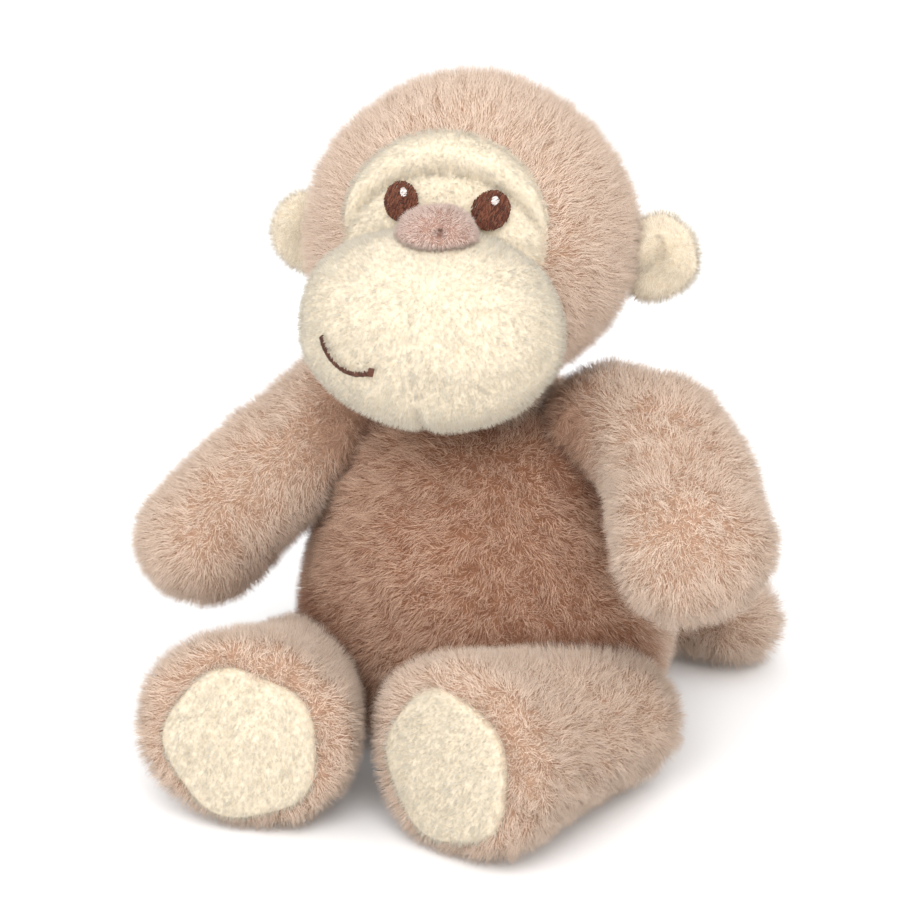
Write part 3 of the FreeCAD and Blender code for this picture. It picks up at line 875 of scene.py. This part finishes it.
def make_neck():
    ball, faces = cube_ball(18)
    points = ball * NECK_SKIN + pivot("neck_turn")
    faces = outward(points, faces)
    comb = (lambda place: np.tile(-UP, (len(place), 1)))
    dress("neck", "neck", "brown_pile", points, faces, {"neck_cover": (everywhere, ["neck_cover"])},
          BROWN_CLOTH, BROWN, comb=comb, **(LONG_COAT | dict(density=4.5)))
    stuffing("neck_stuffing", "neck", points, faces, 1.8, "neck_filling")


# Arms
ARM_AIM = {"left": (0.69, -0.655, -0.29), "right": (-0.56, -0.525, -0.644)}
# Radius at the shoulder and at the hand, length between their centres, and how much wider than tall.
ARM_SHAPE = {"left": (15.5, 19.0, 52.5, 1.06), "right": (14.0, 17.4, 58.0, 1.14)}
ARM_BOW = {"left": (6.0, 3.0, 4.5), "right": (0.0, 0.0, 0.0)}
# The arm's pile takes painted shade within this distance of the chest's side, and fades to its own tone over
# the next.
ARM_SHADE_REACH = 29
ARM_SHADE_FADE = 12


def limb_panels(origin, across, nodes):
    """Two panels, each side of the plane through origin with the normal across."""
    def first(place):
        return (place - origin) @ across > 0
    return {nodes[0]: (first, [nodes[0]]), nodes[1]: (lambda place: ~first(place), [nodes[1]])}


def make_arm(side):
    origin = pivot("shoulder_" + side)
    along = unit(np.array(ARM_AIM[side]))
    axis = np.array(JOINT["shoulder_" + side]["axis"])
    near, far, length, wide = ARM_SHAPE[side]
    points, faces = lathe(profile_round(near, far, length), 36, origin, along, axis, wide=wide, tall=0.97)
    share = np.clip((points - origin) @ along / length, 0, 1)
    points = points + np.array(ARM_BOW[side]) * np.sin(share ** 0.6 * math.pi)[:, None]
    points = swell(points, faces, soft_noise(points, 32.0, 31 + len(side)) * 0.8)
    outward_way = axis if side == "right" else -axis
    panels = limb_panels(origin, outward_way, [f"arm_{side}_inner_panel", f"arm_{side}_outer_panel"])
    comb = (lambda place: np.tile(along, (len(place), 1)) - UP * 0.35)
    sign = 1 if side == "left" else -1
    chest = np.array((sign * 20.0, -12.0, 92.0))

    # Painted shade where the arm meets the chest: the half-shade tones, then some of the shade tones nearest
    # it.
    def root_shade(place):
        near = ARM_SHADE_REACH - np.linalg.norm(place - chest, axis=1)
        return np.clip(near / ARM_SHADE_FADE, 0, 1.5)

    dress("arm_" + side, "arm_" + side, "brown_pile", points, faces, panels, BROWN_CLOTH,
          BROWN + HALF_SHADE + SHADE, comb=comb, mix=root_shade, **LONG_COAT)
    stuffing(f"arm_{side}_stuffing", "arm_" + side, points, faces, 2.2, f"arm_{side}_filling")


# Legs
SOLE = {"left": np.array((24.5, -79.5, 27.4)), "right": np.array((-29.9, -87.7, 27.0))}
THIGH_SHARE = {"left": 1.03, "right": 0.76}
PAD_WIDE = 21.0
PAD_TALL = 20.4
PAD_DROP = 1.8
# The last rings of the sole pad: share of its outline, and depth.
PAD_EDGE = ((0.94, 0.1), (0.97, 0.35), (0.99, 0.8), (1.0, 1.5), (1.0, 3.0))


def pad_outline(turn):
    """The sole pad's rounded five-sided outline: its reach each way, as a share of a plain oval's."""
    return 1 + 0.035 * np.cos(5 * turn)


def pad_share(across, above):
    """Under 1 inside the sole pad's outline."""
    turn = np.arctan2(above / PAD_TALL, across / PAD_WIDE)
    return np.hypot(across / PAD_WIDE, above / PAD_TALL) / pad_outline(turn)


def make_leg(side):
    origin = pivot("hip_" + side)
    length = np.linalg.norm(SOLE[side] - origin)
    along = unit(SOLE[side] - origin)
    axis = np.array(JOINT["hip_" + side]["axis"])
    up = np.cross(axis, along)
    end = length - 3.0
    outline = np.array([(-18.2, 0), (-16, 9.5), (-9, 16), (0, 18.6), (14, 20.0), (30, 22.0), (44, 25.2),
                        (end - 5, 27.8), (end - 1.4, 26.6), (end, 22), (end + 0.4, 0)])
    outline[:, 1] *= np.interp(outline[:, 0], (0, 50), (THIGH_SHARE[side], 1))
    points, faces = lathe(smooth_outline(outline), 40, origin, along, axis, wide=1.07, tall=0.92)
    points = swell(points, faces, soft_noise(points, 34.0, 51 + len(side)) * 0.8)
    points[:, 2] = np.maximum(points[:, 2], LOWEST_SKIN)

    def spot(place):
        away = place - origin
        return away @ axis, away @ up + PAD_DROP, away @ along

    def bare(place):
        across, above, out = spot(place)
        return (out > length - 8) & (pad_share(across, above) < 0.95)

    def upper(place):
        return spot(place)[1] > PAD_DROP
    panels = {f"leg_{side}_upper_panel": (upper, [f"leg_{side}_upper_panel"]),
              f"leg_{side}_lower_panel": (lambda place: ~upper(place), [f"leg_{side}_lower_panel"])}

    def comb(place):
        across, above, out = spot(place)
        radial = unit(across[:, None] * axis + above[:, None] * up)
        return along * 0.8 + radial * np.clip((out[:, None] - length + 12) / 8, 0, 1.2)

    rate = (lambda place: np.where(bare(place), 0.0, LONG_COAT["density"]))
    dress("leg_" + side, "leg_" + side, "brown_pile", points, faces, panels, BROWN_CLOTH, BROWN,
          comb=comb, **(LONG_COAT | dict(density=rate)))
    stuffing(f"leg_{side}_stuffing", "leg_" + side, points, faces, 2.2, f"leg_{side}_filling")
    make_pad(side, origin, along, axis, up, length)


def make_pad(side, origin, along, axis, up, length):
    """A cream pad on the sole: a low dome that turns under at its stitched edge."""
    flat_rings = np.linspace(0, 0.9, 26)
    edge_share, edge_drop = np.transpose(PAD_EDGE)
    rings = np.concatenate([flat_rings, edge_share])
    drop = np.concatenate([np.zeros(len(flat_rings)), edge_drop])
    turns = np.linspace(0, 2 * math.pi, 97)[:-1]
    radius = pad_outline(turns)
    points, faces = [], []
    for share, sink in zip(rings, drop):
        out = length - 1.4 + 2.2 * (1 - share ** 2) - sink
        flat = (np.cos(turns) * radius * share * PAD_WIDE)[:, None] * axis
        flat = flat + (np.sin(turns) * radius * share * PAD_TALL)[:, None] * up
        points.append(origin + along * out + flat - up * PAD_DROP)
    count = len(turns)
    index = np.arange(count)
    for k in range(len(rings) - 1):
        a, b = k * count, (k + 1) * count
        faces.append(np.stack([a + index, b + index, b + (index + 1) % count, a + (index + 1) % count], 1))
    points, faces = np.concatenate(points), np.concatenate(faces)
    second = points[count:2 * count]
    points[:count] = points[:count].mean(0) + (second - second.mean(0)) * 0.05
    if np.dot(face_normals(points, faces).sum(0), along) < 0:
        faces = faces[:, ::-1]
    node = f"leg_{side}_sole_pad"
    comb = (lambda place: np.tile(-up, (len(place), 1)))
    dress("pad_" + side, "leg_" + side, "cream_velour", points, faces, {node: (everywhere, [node])},
          CREAM_CLOTH, CREAM, fill=0.5, comb=comb, **SHORT_COAT)


# Tail
TAIL_POINTS = np.array(((3.0, 53.0, 15.5), (27.0, 70.0, 13.6), (51.0, 73.0, 13.3)))


def make_tail():
    start, bend, end = TAIL_POINTS
    share = np.linspace(-0.15, 1.2, 200)[:, None]
    pull = 2 * bend - (start + end) / 2
    line = (1 - share) ** 2 * start + 2 * share * (1 - share) * pull + share ** 2 * end
    inside = (share[:, 0] >= 0) & (share[:, 0] <= 1)
    run = np.concatenate([[0], np.cumsum(np.linalg.norm(np.diff(line, axis=0), axis=1))])
    run -= run[inside][0]
    length = run[inside][-1]
    profile = profile_round(7.0, 10.6, length)
    local, faces = lathe(profile, 26, (0, 0, 0), (1, 0, 0), (0, 1, 0))
    base = np.stack([np.interp(local[:, 0], run, line[:, k]) for k in range(3)], 1)
    along = np.gradient(line, axis=0)
    along = unit(np.stack([np.interp(local[:, 0], run, along[:, k]) for k in range(3)], 1))
    side = unit(np.cross(UP, along))
    points = base + side * local[:, 1:2] + np.cross(along, side) * local[:, 2:3]
    points[:, 2] = np.maximum(points[:, 2], LOWEST_SKIN)
    points = swell(points, faces, soft_noise(points, 20.0, 71) * 0.4)
    points[:, 2] = np.maximum(points[:, 2], LOWEST_SKIN)
    upper = (lambda place: place[:, 2] > TAIL_POINTS[1][2])
    panels = {"tail_upper_panel": (upper, ["tail_upper_panel"]),
              "tail_lower_panel": (lambda place: ~upper(place), ["tail_lower_panel"])}
    comb = (lambda place: np.tile(unit(end - start), (len(place), 1)))
    dress("tail", "tail", "brown_pile", points, faces, panels, BROWN_CLOTH, BROWN, comb=comb,
          **(LONG_COAT | dict(length=6.4)))
    stuffing("tail_stuffing", "tail", points, faces, 2.0, "tail_filling")


POUCH_SKIN = np.array((25.2, 25.2, 11.7))


def make_pouch():
    """The bead pouch inside the torso: a flat round bag with a pinched seam, and the loose beads in it."""
    ball, faces = cube_ball(30)
    low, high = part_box("bead_pouch")
    middle = (np.array(low) + np.array(high)) / 2 / MM
    turn = np.arctan2(ball[:, 1], ball[:, 0])
    rim = np.exp(-(ball[:, 2] / 0.12) ** 2)
    points = ball * POUCH_SKIN * (1 + 0.018 * rim * np.sin(turn * 26))[:, None] + middle
    piece = new_mesh("pouch_bag", points, outward(points, faces), [POUCH_CLOTH])
    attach(piece, "torso")
    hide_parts("bead_pouch")
    for slot in frame["nodes"]["bead_fill"].material_slots:
        slot.material = BEAD_PLASTIC


make_head()
for side, sign in (("left", 1), ("right", -1)):
    make_ear(side, sign)
    make_arm(side)
    make_leg(side)
make_torso()
make_neck()
make_tail()
make_pouch()
